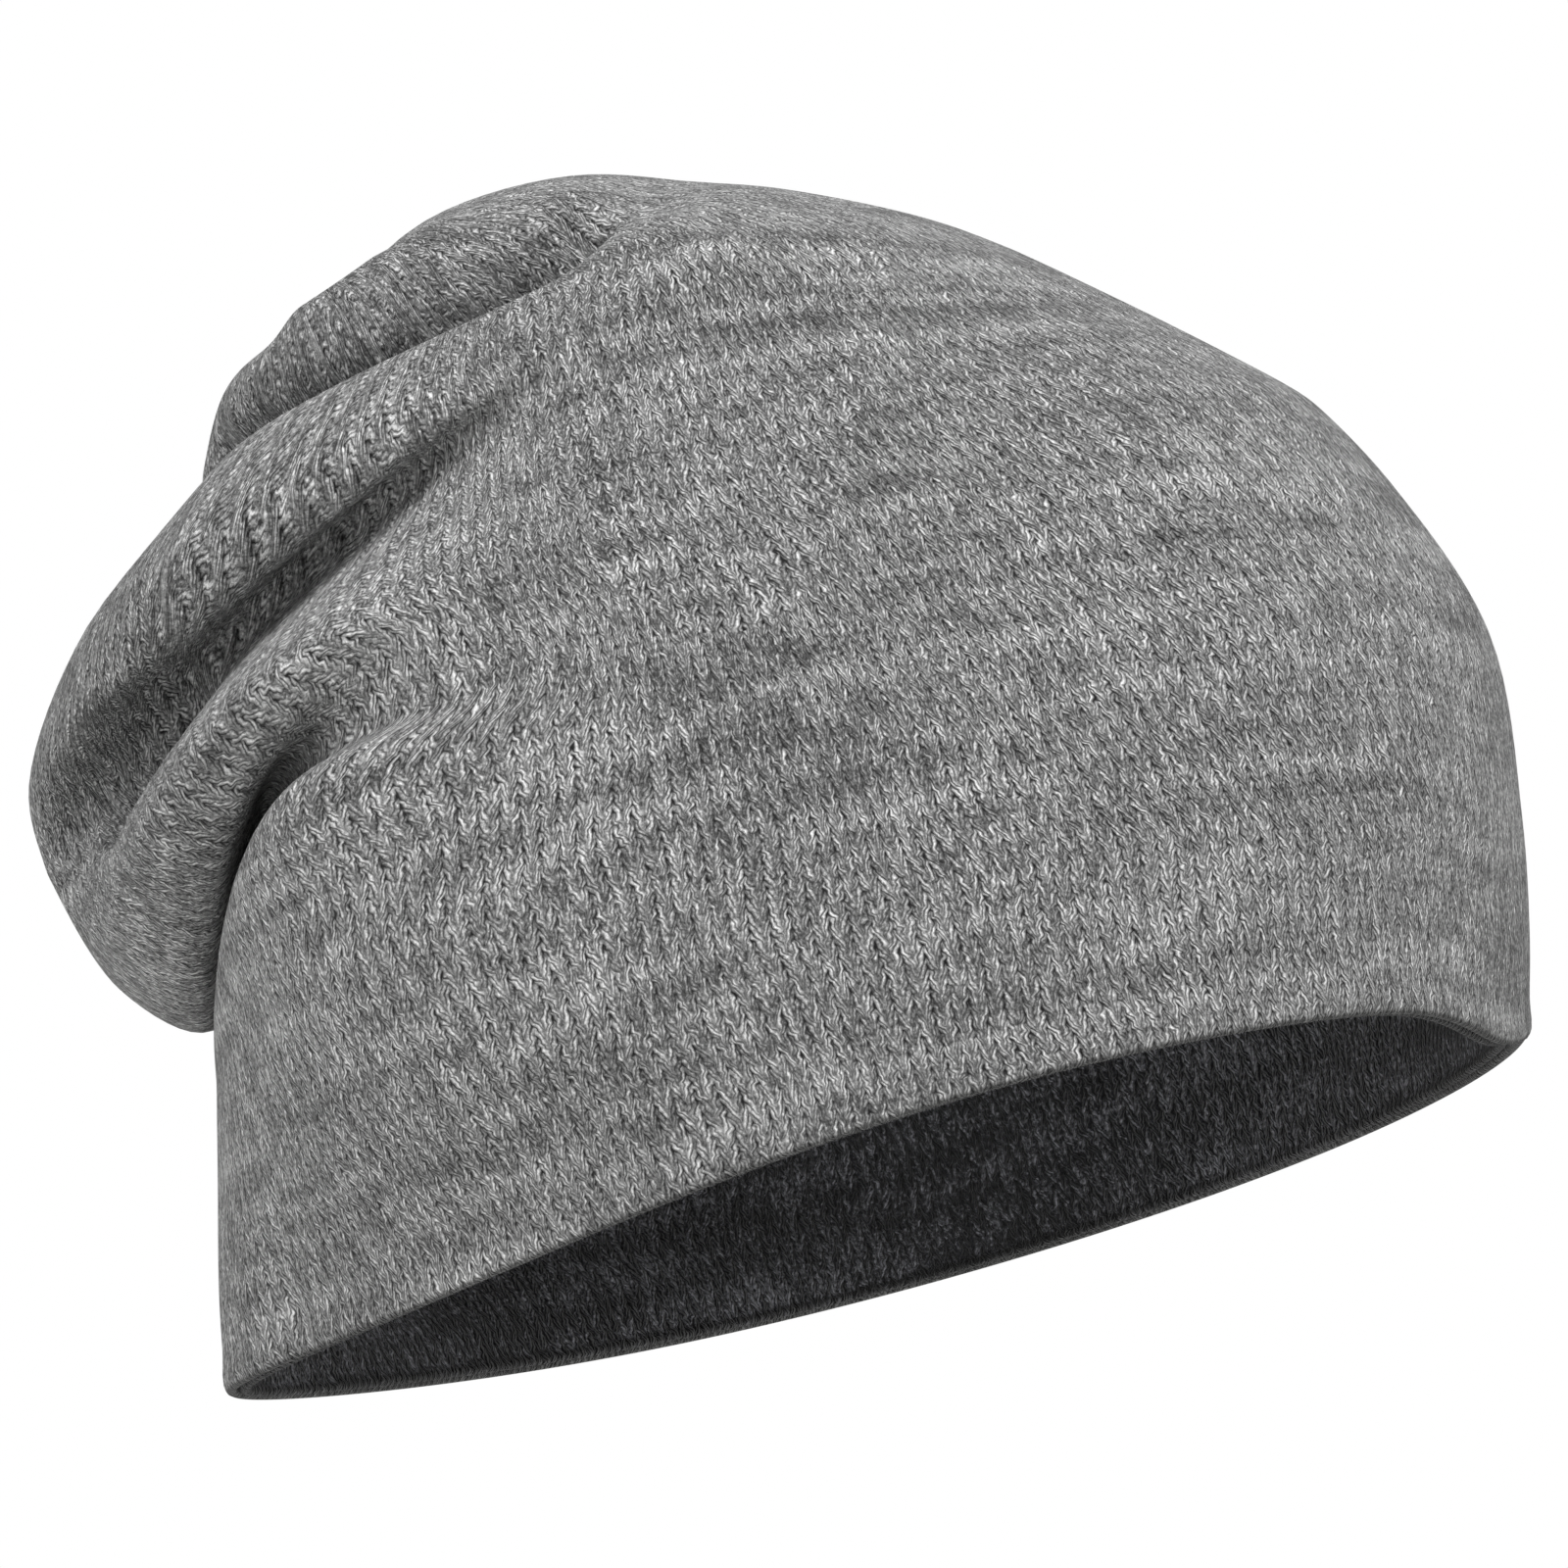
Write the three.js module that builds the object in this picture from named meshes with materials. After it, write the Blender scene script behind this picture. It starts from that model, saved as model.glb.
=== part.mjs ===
// Slouchy beanie as it sits on a head: a long tube of jersey, closed at the crown, whose slack
// hangs back over the nape in soft rolls. It is two caps, one inside the other: a grey outer
// layer and a charcoal lining, which meet along the rim.
// Frame: origin in the middle of the opening, +X to the brow, +Y to the wearer's left, +Z up.

import * as THREE from 'three';

// Driving sizes, in millimetres and degrees
const openingLength = 193;    // the rim, from brow to nape
const openingBreadth = 150;   // the rim, from ear to ear
const crownHeight = 155;      // from the rim's plane to the level of the top
const browLift = 15.6;        // tilt of the rim, higher at the brow than at the nape
const leftSag = 5;            // how much lower the folds hang on the wearer's left side
const creaseGap = 3;          // width of a crease at its bottom
const leftDelay = 8;          // how many degrees further back the creases start on the left side
const outerWall = 1.7;        // thickness of the outer layer's jersey
const liningWall = 1.5;       // thickness of the lining's jersey
const layerGap = 0.3;         // air between the two layers
const edgeStep = 0.7;         // how far the lining reaches below the outer layer's edge

// Fineness of the facets
const columns = 40;           // round the head
const backCrowding = 0.3;     // 0 spaces the columns evenly, more draws them to the folds behind
const hemFacets = 3;          // across the rounded edge of a layer
const tightShare = 0.4;       // how far a turn of the cloth may shrink from outside to inside
const easingRounds = 24;      // how often tight turns are eased

// Sections from the rim to the crown, each a closed line round the cap. A row says where the line
// passes the middle of the brow (front) and of the nape (back), the side (flank) and behind the ear
// (quarter). Each place is [along, height, out]: along in shares of half the opening's
// length, height above the rim's plane in shares of the crown's height, and out from the middle in
// shares of half the breadth. Facets is the number of facets up to the next section. A crease is
// the bottom of a fold: two lines, the width of a crease apart. Its fade says between which degrees
// round from the brow the fold deepens from nothing to its full depth.
const sections = [
  { name: 'rim', facets: 1, front: [1.0, 0.0], back: [-1.0, 0.0],
    flank: [-0.015, 0.0, 1.0], quarter: [-0.68, -0.007, 0.5] },
  { name: 'hem', facets: 1, front: [1.02, 0.035], back: [-0.993, 0.038],
    flank: [-0.01, 0.03, 1.01], quarter: [-0.685, 0.03, 0.52] },
  { name: 'band', facets: 2, front: [1.045, 0.085], back: [-0.975, 0.095],
    flank: [-0.01, 0.08, 1.03], quarter: [-0.685, 0.08, 0.57] },
  { name: 'above the ears', facets: 2, front: [1.086, 0.195], back: [-0.937, 0.187],
    flank: [-0.005, 0.155, 1.05], quarter: [-0.68, 0.165, 0.67] },
  { name: 'body', facets: 3, front: [1.118, 0.365], back: [-0.903, 0.268],
    flank: [-0.017, 0.265, 1.053], quarter: [-0.683, 0.29, 0.74] },
  { name: 'lip under the bag', facets: 3, front: [1.046, 0.518], back: [-0.877, 0.324],
    flank: [-0.037, 0.386, 1.035], quarter: [-0.678, 0.451, 0.745] },
  { name: 'crease over the nape', fade: [103, 138], facets: 3, front: [0.969, 0.611], back: [-0.72, 0.46],
    flank: [-0.071, 0.454, 1.02], quarter: [-0.64, 0.498, 0.59] },
  { name: 'mouth of the bag', facets: 2, front: [0.874, 0.672], back: [-0.889, 0.34],
    flank: [-0.091, 0.522, 1.0], quarter: [-0.677, 0.512, 0.715] },
  { name: 'low roll', facets: 3, front: [0.753, 0.744], back: [-1.003, 0.4],
    flank: [-0.107, 0.591, 0.963], quarter: [-0.749, 0.534, 0.733] },
  { name: 'crease between the rolls', fade: [66, 120], facets: 2, front: [0.607, 0.829], back: [-1.06, 0.52],
    flank: [-0.097, 0.75, 0.825], quarter: [-0.69, 0.655, 0.325] },
  { name: 'under the middle roll', facets: 2, front: [0.53, 0.865], back: [-1.055, 0.6],
    flank: [-0.093, 0.785, 0.81], quarter: [-0.716, 0.66, 0.58] },
  { name: 'middle roll', facets: 2, front: [0.437, 0.9], back: [-0.93, 0.705],
    flank: [-0.091, 0.813, 0.77], quarter: [-0.71, 0.712, 0.65] },
  { name: 'edge of the middle roll', facets: 2, front: [0.315, 0.937], back: [-0.7, 0.785],
    flank: [-0.088, 0.853, 0.7], quarter: [-0.6, 0.806, 0.54] },
  { name: 'crease under the crown', fade: [56, 98], facets: 2, front: [0.19, 0.975], back: [-0.68, 0.852],
    flank: [-0.12, 0.868, 0.57], quarter: [-0.545, 0.828, 0.28] },
  { name: 'crown roll', facets: 2, front: [0.026, 1.014], back: [-0.624, 0.912],
    flank: [-0.22, 0.945, 0.46], quarter: [-0.53, 0.908, 0.29] },
  { name: 'crown', facets: 1, front: [-0.24, 1.026], back: [-0.55, 0.945],
    flank: [-0.38, 0.97, 0.2], quarter: [-0.49, 0.945, 0.14] },
];
const browShare = 0.3;        // how far the front quarter lies from the front to the flank
const browFullness = 0.76;    // its distance out, as a share of the flank's

const mix = (from, to, share) => from + (to - from) * share;
const outerJersey = new THREE.MeshStandardMaterial({ color: 0x8b8c8b, roughness: 0.95, metalness: 0 });
const liningJersey = new THREE.MeshStandardMaterial({ color: 0x35363a, roughness: 0.95, metalness: 0 });

// Smooth even curve round the cap through five places, at 0, 45, 90, 135 and 180 degrees
function cosineCurve(places, angle) {
  const last = places.length - 1;
  let sum = 0;
  for (let wave = 0; wave <= last; wave++) {
    let weight = 0;
    for (let k = 0; k <= last; k++) {
      const share = k === 0 || k === last ? 0.5 : 1;
      weight += share * places[k] * Math.cos((wave * k * Math.PI) / last);
    }
    const end = wave === 0 || wave === last ? 0.5 : 1;
    sum += (2 / last) * end * weight * Math.cos(wave * angle);
  }
  return sum;
}

// Distance out from the middle, through the front quarter, the flank and the back quarter
function breadthCurve(frontQuarter, flank, backQuarter, angle) {
  const mean = (frontQuarter + backQuarter) / Math.SQRT2;
  const egg = frontQuarter - backQuarter;
  const square = mean - flank;
  return Math.sin(angle) * (mean + egg * Math.cos(angle) + square * Math.cos(2 * angle));
}

// A place on one section's line, in the cap's own frame: x along the rim, z up from its plane.
// The angle runs from the brow over the wearer's right side to the nape and back over the left.
function placeOnSection({ front, flank, quarter, back }, angle) {
  const frontQuarter = [0, 1].map((k) => mix(front[k], flank[k], browShare));
  const along = cosineCurve([front[0], frontQuarter[0], flank[0], quarter[0], back[0]], angle);
  const height = cosineCurve([front[1], frontQuarter[1], flank[1], quarter[1], back[1]], angle);
  const out = breadthCurve(browFullness * flank[2], flank[2], quarter[2], angle);
  const left = Math.max(0, -Math.sin(angle));
  const sag = leftSag * left * left * Math.min(1, Math.max(0, height) * 2);
  return new THREE.Vector3(
    (along * openingLength) / 2,
    (-out * openingBreadth) / 2,
    height * crownHeight - sag,
  );
}

// A crease before its fold begins: the cloth runs straight from the section below it to the one above
function flatCrease(index) {
  const [below, above] = [sections[index - 1], sections[index + 1]];
  const quarter = below.quarter.map((share, k) => mix(share, above.quarter[k], 0.5));
  const back = below.back.map((share, k) => mix(share, above.back[k], 0.5));
  return { ...sections[index], quarter, back };
}

// The places of one line from the rim towards the crown, with both sides of each crease
function lineUpTheCap(angle) {
  const fromBrow = THREE.MathUtils.radToDeg(Math.PI - Math.abs(Math.PI - angle));
  const delay = leftDelay * Math.max(0, -Math.sin(angle));
  const places = sections.map((section) => placeOnSection(section, angle));
  return places.flatMap((place, index) => {
    const { fade } = sections[index];
    if (!fade) {
      return [place];
    }
    const depth = THREE.MathUtils.smoothstep(fromBrow - delay, fade[0], fade[1]);
    const bottom = placeOnSection(flatCrease(index), angle).lerp(place, depth);
    const toBelow = places[index - 1].clone().sub(bottom).normalize();
    const toAbove = places[index + 1].clone().sub(bottom).normalize();
    const across = toAbove.sub(toBelow).setLength(creaseGap / 2);
    return [bottom.clone().sub(across), bottom.clone().add(across)];
  });
}

// The outer face of the cap as rows of points, from the rim to the tip of the crown
function outerFace() {
  const lines = [];
  for (let column = 0; column < columns; column++) {
    const turn = (column / columns) * 2 * Math.PI;
    lines.push(lineUpTheCap(turn + backCrowding * Math.sin(turn)));
  }
  const tip = new THREE.Vector3();
  lines.forEach((line) => tip.addScaledVector(line[line.length - 1], 1 / columns));
  const curves = lines.map((line) => new THREE.CatmullRomCurve3([...line, tip]));
  const facets = sections.flatMap((section) => (section.fade ? [1, section.facets] : [section.facets]));
  const rows = [];
  facets.forEach((count, index) => {
    for (let step = 0; step < count; step++) {
      const share = (index + step / count) / facets.length;
      rows.push(curves.map((curve) => curve.getPoint(share)));
    }
  });
  rows.push(curves.map(() => tip.clone()));
  return rows;
}

// Outward directions of a face's points, from their neighbours along and across
function outwardOf(rows) {
  const top = rows.length - 1;
  const directions = rows.map((row, i) => row.map((point, j) => {
    const up = rows[Math.min(i + 1, top)][j].clone().sub(rows[Math.max(i - 1, 0)][j]);
    const round = row[(j + 1) % columns].clone().sub(row[(j + columns - 1) % columns]);
    return up.cross(round).normalize();
  }));
  const tipDirection = new THREE.Vector3();
  directions[top - 1].forEach((direction) => tipDirection.add(direction));
  directions[top] = rows[top].map(() => tipDirection.clone().normalize());
  for (let round = 0; round < easingRounds; round++) {
    easeTightTurns(rows, directions);
  }
  return directions;
}

// Cloth turns no tighter than its own thickness: where directions close in on each other so
// much that the deepest face would shrink to less than a share of the outer one, they are
// eased towards their neighbours
function easeTightTurns(rows, directions) {
  const depth = outerWall + layerGap + liningWall;
  const tight = new Set();
  const test = (i, j, k, l) => {
    const outer = rows[k][l].clone().sub(rows[i][j]);
    const closing = directions[i][j].clone().sub(directions[k][l]);
    const inner = outer.clone().addScaledVector(closing, depth);
    if (inner.dot(outer) < tightShare * outer.lengthSq()) {
      tight.add(i * columns + j);
      tight.add(k * columns + l);
    }
  };
  for (let i = 0; i < rows.length - 2; i++) {
    for (let j = 0; j < columns; j++) {
      test(i, j, i + 1, j);
      test(i, j, i, (j + 1) % columns);
    }
  }
  const eased = [...tight].map((number) => {
    const i = Math.floor(number / columns);
    const j = number % columns;
    const sum = directions[i][j].clone();
    sum.add(directions[Math.max(i - 1, 0)][j]).add(directions[i + 1][j]);
    sum.add(directions[i][(j + 1) % columns]).add(directions[i][(j + columns - 1) % columns]);
    return [i, j, sum.normalize()];
  });
  eased.forEach(([i, j, direction]) => directions[i][j].copy(direction));
}

// The quads of a face that are cut from their lower right corner up, because that way is shorter
function shorterCuts(rows) {
  return rows.slice(1).map((above, i) => above.map((point, j) => {
    const next = (j + 1) % columns;
    return rows[i][j].distanceTo(above[next]) < rows[i][next].distanceTo(point);
  }));
}

// The face with its rim drawn up the cap by a step
function drawUpRim(rows, step) {
  const rim = rows[0].map((point, j) => {
    return point.clone().addScaledVector(rows[1][j].clone().sub(point).normalize(), step);
  });
  return [rim, ...rows.slice(1)];
}

// One layer of cloth between two depths under the cap's face: a closed skin of both faces,
// joined round the rim by a rounded edge that hangs half a wall below it
function layerGeometry(rows, outward, cuts, outerDepth, innerDepth) {
  const positions = [];
  const faces = [];
  const top = rows.length - 1;
  const addRing = (points) => {
    const first = positions.length / 3;
    points.forEach((point) => positions.push(point.x, point.y, point.z));
    return Array.from({ length: columns }, (_, j) => first + (points.length === 1 ? 0 : j));
  };
  const addFace = (depth) => rows.map((row, i) => {
    const points = i === top ? row.slice(0, 1) : row;
    return addRing(points.map((point, j) => point.clone().addScaledVector(outward[i][j], -depth)));
  });
  const joinRings = (lower, upper, cut) => {
    for (let j = 0; j < columns; j++) {
      const next = (j + 1) % columns;
      const [a, b, c, d] = [lower[j], lower[next], upper[next], upper[j]];
      const halves = cut[j] ? [[a, c, b], [a, d, c]] : [[a, d, b], [b, d, c]];
      const whole = halves.filter(([p, q, r]) => p !== q && q !== r && r !== p);
      whole.forEach((half) => faces.push(...half));
    }
  };
  const outerRings = addFace(outerDepth);
  const innerRings = addFace(innerDepth);
  const hemRings = [outerRings[0]];
  const wall = innerDepth - outerDepth;
  for (let facet = 1; facet < hemFacets; facet++) {
    const turn = (facet / hemFacets) * Math.PI;
    const depth = outerDepth + (wall * (1 - Math.cos(turn))) / 2;
    const drop = (wall * Math.sin(turn)) / 2;
    hemRings.push(addRing(rows[0].map((point, j) => {
      const down = point.clone().sub(rows[1][j]).normalize();
      return point.clone().addScaledVector(outward[0][j], -depth).addScaledVector(down, drop);
    })));
  }
  hemRings.push(innerRings[0]);
  for (let i = 0; i < top; i++) {
    joinRings(outerRings[i], outerRings[i + 1], cuts[i]);
    joinRings(innerRings[i + 1], innerRings[i], cuts[i].map((cut) => !cut));
  }
  for (let facet = 0; facet < hemFacets; facet++) {
    joinRings(hemRings[facet + 1], hemRings[facet], cuts[0]);
  }
  const geometry = new THREE.BufferGeometry();
  geometry.setAttribute('position', new THREE.Float32BufferAttribute(positions, 3));
  geometry.setIndex(faces);
  geometry.computeVertexNormals();
  return geometry;
}

function layer(name, material, geometry) {
  const mesh = new THREE.Mesh(geometry, material);
  mesh.name = name;
  return mesh;
}

const rows = outerFace();
const outward = outwardOf(rows);
const cuts = shorterCuts(rows);
const liningDepth = outerWall + layerGap;
const outerShell = layerGeometry(drawUpRim(rows, edgeStep), outward, cuts, 0, outerWall);
const liningShell = layerGeometry(rows, outward, cuts, liningDepth, liningDepth + liningWall);
const beanie = new THREE.Group();
beanie.rotation.y = THREE.MathUtils.degToRad(-browLift);
beanie.add(layer('outer_layer', outerJersey, outerShell));
beanie.add(layer('lining', liningJersey, liningShell));

export default beanie;
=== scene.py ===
# %% [markdown]
# A slouchy beanie in stocking-stitch jersey
#
# The beanie is a long tube of soft jersey, closed at the crown. Worn, its rim goes round the head
# at a slant, its body follows the head, and the slack hangs back over the nape in soft rolls. It is
# two caps, one inside the other: a heather grey outer layer and a charcoal lining, which meet along
# the rim. This script builds both layers over the fixed frame, knits them with a procedural
# stocking stitch, and sets up the camera and the light.

# %% Load the fixed frame
import bpy
import bmesh
import math
import numpy as np
from mathutils import Matrix, Vector


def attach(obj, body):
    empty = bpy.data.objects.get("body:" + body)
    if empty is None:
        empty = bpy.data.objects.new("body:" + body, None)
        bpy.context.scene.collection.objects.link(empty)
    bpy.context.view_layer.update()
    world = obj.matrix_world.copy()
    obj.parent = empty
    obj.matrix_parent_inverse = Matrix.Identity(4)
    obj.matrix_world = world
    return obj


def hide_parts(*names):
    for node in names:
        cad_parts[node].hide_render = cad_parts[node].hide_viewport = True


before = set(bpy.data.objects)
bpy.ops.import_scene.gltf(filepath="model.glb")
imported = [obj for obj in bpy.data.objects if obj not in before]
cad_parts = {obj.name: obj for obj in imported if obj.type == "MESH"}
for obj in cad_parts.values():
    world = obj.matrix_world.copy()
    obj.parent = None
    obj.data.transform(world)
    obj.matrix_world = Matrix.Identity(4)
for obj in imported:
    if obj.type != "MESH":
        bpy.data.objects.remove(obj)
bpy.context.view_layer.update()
scene = bpy.context.scene

# %% [markdown]
# The sizes are those of the real beanie: a rim 193 mm long and 150 mm wide, tilted with the brow
# end up, and a crown 155 mm above the rim. They are kept in millimetres, as on a maker's sheet.

# %% Sizes of the beanie, in millimetres and degrees
OPENING_LENGTH = 193      # the rim from brow to nape
OPENING_BREADTH = 150     # the rim from ear to ear
CROWN_HEIGHT = 155        # from the rim's plane to the crown
BROW_LIFT = 15.6          # degrees by which the rim is tilted
LEFT_SAG = 5              # the slack hangs this much lower on the wearer's left
LEFT_DELAY = 8            # degrees later that the folds begin there
CREASE_GAP = 3            # between the two lines at the bottom of a fold
OUTER_WALL = 1.7
LINING_WALL = 1.5
LAYER_GAP = 0.3           # air between the two layers
EDGE_STEP = 0.7           # the outer layer's edge lies this far above the lining's
BROW_SHARE = 0.3          # how far along and up a line has gone halfway from brow to side
BROW_FULLNESS = 0.76      # how far out it is there, beside the side
MILLIMETRES = 1000        # in a metre
print("opening, mm:", OPENING_LENGTH, "by", OPENING_BREADTH)

# %% [markdown]
# Cloth that hangs in rolls can be simulated, sculpted, or lofted through a few sections. A loft is
# chosen here: a section is a closed line round the cap, and each row below says where it passes the
# middle of the brow, the side, the place behind the ear, and the middle of the nape. A place is
# [along, height, out]: along in shares of half the rim's length, height in shares of the crown's
# height, and out in shares of half the rim's breadth. A crease is the bottom of a fold, where the
# cloth turns back on itself, so it gets two lines a crease's width apart. Its fade says between
# which degrees from the brow the fold deepens from nothing to its full depth.

# %% The sections, from the rim to the crown
SECTIONS = [
    dict(name="rim", rows=1, fade=None, front=(1.0, 0.0), back=(-1.0, 0.0),
         flank=(-0.015, 0.0, 1.0), quarter=(-0.68, -0.007, 0.5)),
    dict(name="hem", rows=1, fade=None, front=(1.02, 0.035), back=(-0.993, 0.038),
         flank=(-0.01, 0.03, 1.01), quarter=(-0.685, 0.03, 0.52)),
    dict(name="band", rows=2, fade=None, front=(1.045, 0.085), back=(-0.975, 0.095),
         flank=(-0.01, 0.08, 1.03), quarter=(-0.685, 0.08, 0.57)),
    dict(name="above the ears", rows=2, fade=None, front=(1.086, 0.195), back=(-0.937, 0.187),
         flank=(-0.005, 0.155, 1.05), quarter=(-0.68, 0.165, 0.67)),
    dict(name="body", rows=3, fade=None, front=(1.118, 0.365), back=(-0.903, 0.268),
         flank=(-0.017, 0.265, 1.053), quarter=(-0.683, 0.29, 0.74)),
    dict(name="lip under the bag", rows=3, fade=None, front=(1.046, 0.518), back=(-0.877, 0.324),
         flank=(-0.037, 0.386, 1.035), quarter=(-0.678, 0.451, 0.745)),
    dict(name="crease over the nape", rows=3, fade=(103, 138), front=(0.969, 0.611), back=(-0.72, 0.46),
         flank=(-0.071, 0.454, 1.02), quarter=(-0.64, 0.498, 0.59)),
    dict(name="mouth of the bag", rows=2, fade=None, front=(0.874, 0.672), back=(-0.889, 0.34),
         flank=(-0.091, 0.522, 1.0), quarter=(-0.677, 0.512, 0.715)),
    dict(name="low roll", rows=3, fade=None, front=(0.753, 0.744), back=(-1.003, 0.4),
         flank=(-0.107, 0.591, 0.963), quarter=(-0.749, 0.534, 0.733)),
    dict(name="crease between the rolls", rows=2, fade=(66, 120), front=(0.607, 0.829), back=(-1.06, 0.52),
         flank=(-0.097, 0.75, 0.825), quarter=(-0.69, 0.655, 0.325)),
    dict(name="under the middle roll", rows=2, fade=None, front=(0.53, 0.865), back=(-1.055, 0.6),
         flank=(-0.093, 0.785, 0.81), quarter=(-0.716, 0.66, 0.58)),
    dict(name="middle roll", rows=2, fade=None, front=(0.437, 0.9), back=(-0.93, 0.705),
         flank=(-0.091, 0.813, 0.77), quarter=(-0.71, 0.712, 0.65)),
    dict(name="edge of the middle roll", rows=2, fade=None, front=(0.315, 0.937), back=(-0.7, 0.785),
         flank=(-0.088, 0.853, 0.7), quarter=(-0.6, 0.806, 0.54)),
    dict(name="crease under the crown", rows=2, fade=(56, 98), front=(0.19, 0.975), back=(-0.68, 0.852),
         flank=(-0.12, 0.868, 0.57), quarter=(-0.545, 0.828, 0.28)),
    dict(name="crown roll", rows=2, fade=None, front=(0.026, 1.014), back=(-0.624, 0.912),
         flank=(-0.22, 0.945, 0.46), quarter=(-0.53, 0.908, 0.29)),
    dict(name="crown", rows=1, fade=None, front=(-0.24, 1.026), back=(-0.55, 0.945),
         flank=(-0.38, 0.97, 0.2), quarter=(-0.49, 0.945, 0.14)),
]
print(len(SECTIONS), "sections")


# %% [markdown]
# A section's line is smooth and closed. Along and height are even waves of the angle round the
# cap, through five places from the brow to the nape. The distance out is an odd wave, through the
# side and the two quarters. The angle runs from the brow over the wearer's right side to the nape
# and back over the left, where the slack hangs a little lower.

# %% One section's line
def cosine_curve(places, angle):
    last = len(places) - 1
    total = 0
    for wave in range(last + 1):
        weight = sum((0.5 if k in (0, last) else 1) * place * math.cos(wave * k * math.pi / last)
                     for k, place in enumerate(places))
        end = 0.5 if wave in (0, last) else 1
        total = total + (2 / last) * end * weight * np.cos(wave * angle)
    return total


def breadth_curve(front_quarter, flank, back_quarter, angle):
    mean = (front_quarter + back_quarter) * math.sqrt(0.5)
    egg = front_quarter - back_quarter
    return np.sin(angle) * (mean + egg * np.cos(angle) + (mean - flank) * np.cos(2 * angle))


def section_line(section, angle):
    front, flank, quarter, back = (section[key] for key in ("front", "flank", "quarter", "back"))
    near_front = [front[k] + (flank[k] - front[k]) * BROW_SHARE for k in (0, 1)]
    along = cosine_curve([front[0], near_front[0], flank[0], quarter[0], back[0]], angle)
    height = cosine_curve([front[1], near_front[1], flank[1], quarter[1], back[1]], angle)
    out = breadth_curve(BROW_FULLNESS * flank[2], flank[2], quarter[2], angle)
    left = np.maximum(0, -np.sin(angle))
    sag = LEFT_SAG * left * left * np.minimum(1, np.maximum(0, height) * 2)
    return np.stack([along * OPENING_LENGTH / 2, -out * OPENING_BREADTH / 2, height * CROWN_HEIGHT - sag], -1)


rim_places = section_line(SECTIONS[0], np.radians([0, 90, 180]))
print("the untilted rim at brow, side and nape, mm:", rim_places.round(1).tolist())


# %% [markdown]
# The columns of the cap run from the rim to the crown, as the ribs of its knitting do. Each is a
# smooth curve through its section places. The curve is a Catmull-Rom spline whose time between two
# places is the square root of their distance, so that it doesn't swing out where places lie close
# together, as they do in a crease.

# %% The lines that the columns pass through
def unit(vectors):
    return vectors / np.linalg.norm(vectors, axis=-1, keepdims=True)


def smooth_step(value, low, high):
    share = np.clip((value - low) / (high - low), 0, 1)
    return share * share * (3 - 2 * share)


def flat_crease(index):
    below, above = SECTIONS[index - 1], SECTIONS[index + 1]
    middle = {key: [(a + b) / 2 for a, b in zip(below[key], above[key])] for key in ("quarter", "back")}
    return {**SECTIONS[index], **middle}


def crease_lines(places, index, angle):
    from_brow = np.degrees(math.pi - abs(math.pi - angle))
    delay = LEFT_DELAY * np.maximum(0, -np.sin(angle))
    depth = smooth_step(from_brow - delay, *SECTIONS[index]["fade"])[:, None]
    flat = section_line(flat_crease(index), angle)
    bottom = flat + (places[index] - flat) * depth
    across = unit(unit(places[index + 1] - bottom) - unit(places[index - 1] - bottom)) * CREASE_GAP / 2
    return [bottom - across, bottom + across]


def control_lines(angle):
    places = [section_line(section, angle) for section in SECTIONS]
    lines, rows = [], []
    for index, section in enumerate(SECTIONS):
        lines += crease_lines(places, index, angle) if section["fade"] else [places[index]]
        rows += [1, section["rows"]] if section["fade"] else [section["rows"]]
    lines.append(np.broadcast_to(lines[-1].mean(0), lines[-1].shape))
    return np.array(lines), rows


print(len(control_lines(np.zeros(1))[0]), "lines, with two for each crease and one for the pole")


# %% [markdown]
# Between two lines a column is cut into short steps, more of them where the sections lie far apart.
# The finished face is tilted by the brow's lift, and its last row is one point, the crown's pole.

# %% The cap's outer face, as rows and columns of points
SAME_PLACE = 1e-3    # roots of distances below this count as none


def spline_span(before, start, end, after, share):
    gaps = [np.sqrt(np.linalg.norm(b - a, axis=-1, keepdims=True)) for a, b in
            ((before, start), (start, end), (end, after))]
    middle = np.maximum(gaps[1], SAME_PLACE)
    first, last = (np.where(gap < SAME_PLACE, middle, gap) for gap in (gaps[0], gaps[2]))
    leave = ((start - before) / first - (end - before) / (first + middle) + (end - start) / middle) * middle
    reach = ((end - start) / middle - (after - start) / (middle + last) + (after - end) / last) * middle
    bend = -3 * start + 3 * end - 2 * leave - reach
    twist = 2 * start - 2 * end + leave + reach
    return start + leave * share + bend * share**2 + twist * share**3


def cap_face(columns, fineness):
    turn = np.arange(columns + 1) / columns * 2 * math.pi
    lines, counts = control_lines(turn)
    padded = np.concatenate([[2 * lines[0] - lines[1]], lines, [2 * lines[-1] - lines[-2]]])
    rows = []
    for index, count in enumerate(counts):
        steps = count * fineness
        rows += [spline_span(*padded[index:index + 4], step / steps) for step in range(steps)]
    rows.append(lines[-1])
    tilt = math.radians(BROW_LIFT)
    x, y, z = np.moveaxis(np.array(rows), -1, 0)
    return np.stack([x * math.cos(tilt) - z * math.sin(tilt), y, x * math.sin(tilt) + z * math.cos(tilt)], -1)


COLUMNS, FINENESS = 288, 4
smooth_face = cap_face(COLUMNS, FINENESS)
print("outer face:", smooth_face.shape[0], "rows of", COLUMNS, "columns")

# %% [markdown]
# Between the large folds the cloth also swells and sinks a little, and beside the brow the rim sags.
# More sections could give that, but the loft would then be hard to keep even, so these soft forms
# are added to it. Each one runs along a path over the cap. The path is given by a few places:
# degrees round from the brow, and the share of the way up the sections. The cloth rises or sinks
# there by a height that fades out over a width, both in millimetres. A form acts only above a share
# of the way up, so that it doesn't press on the next roll across a crease.

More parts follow.
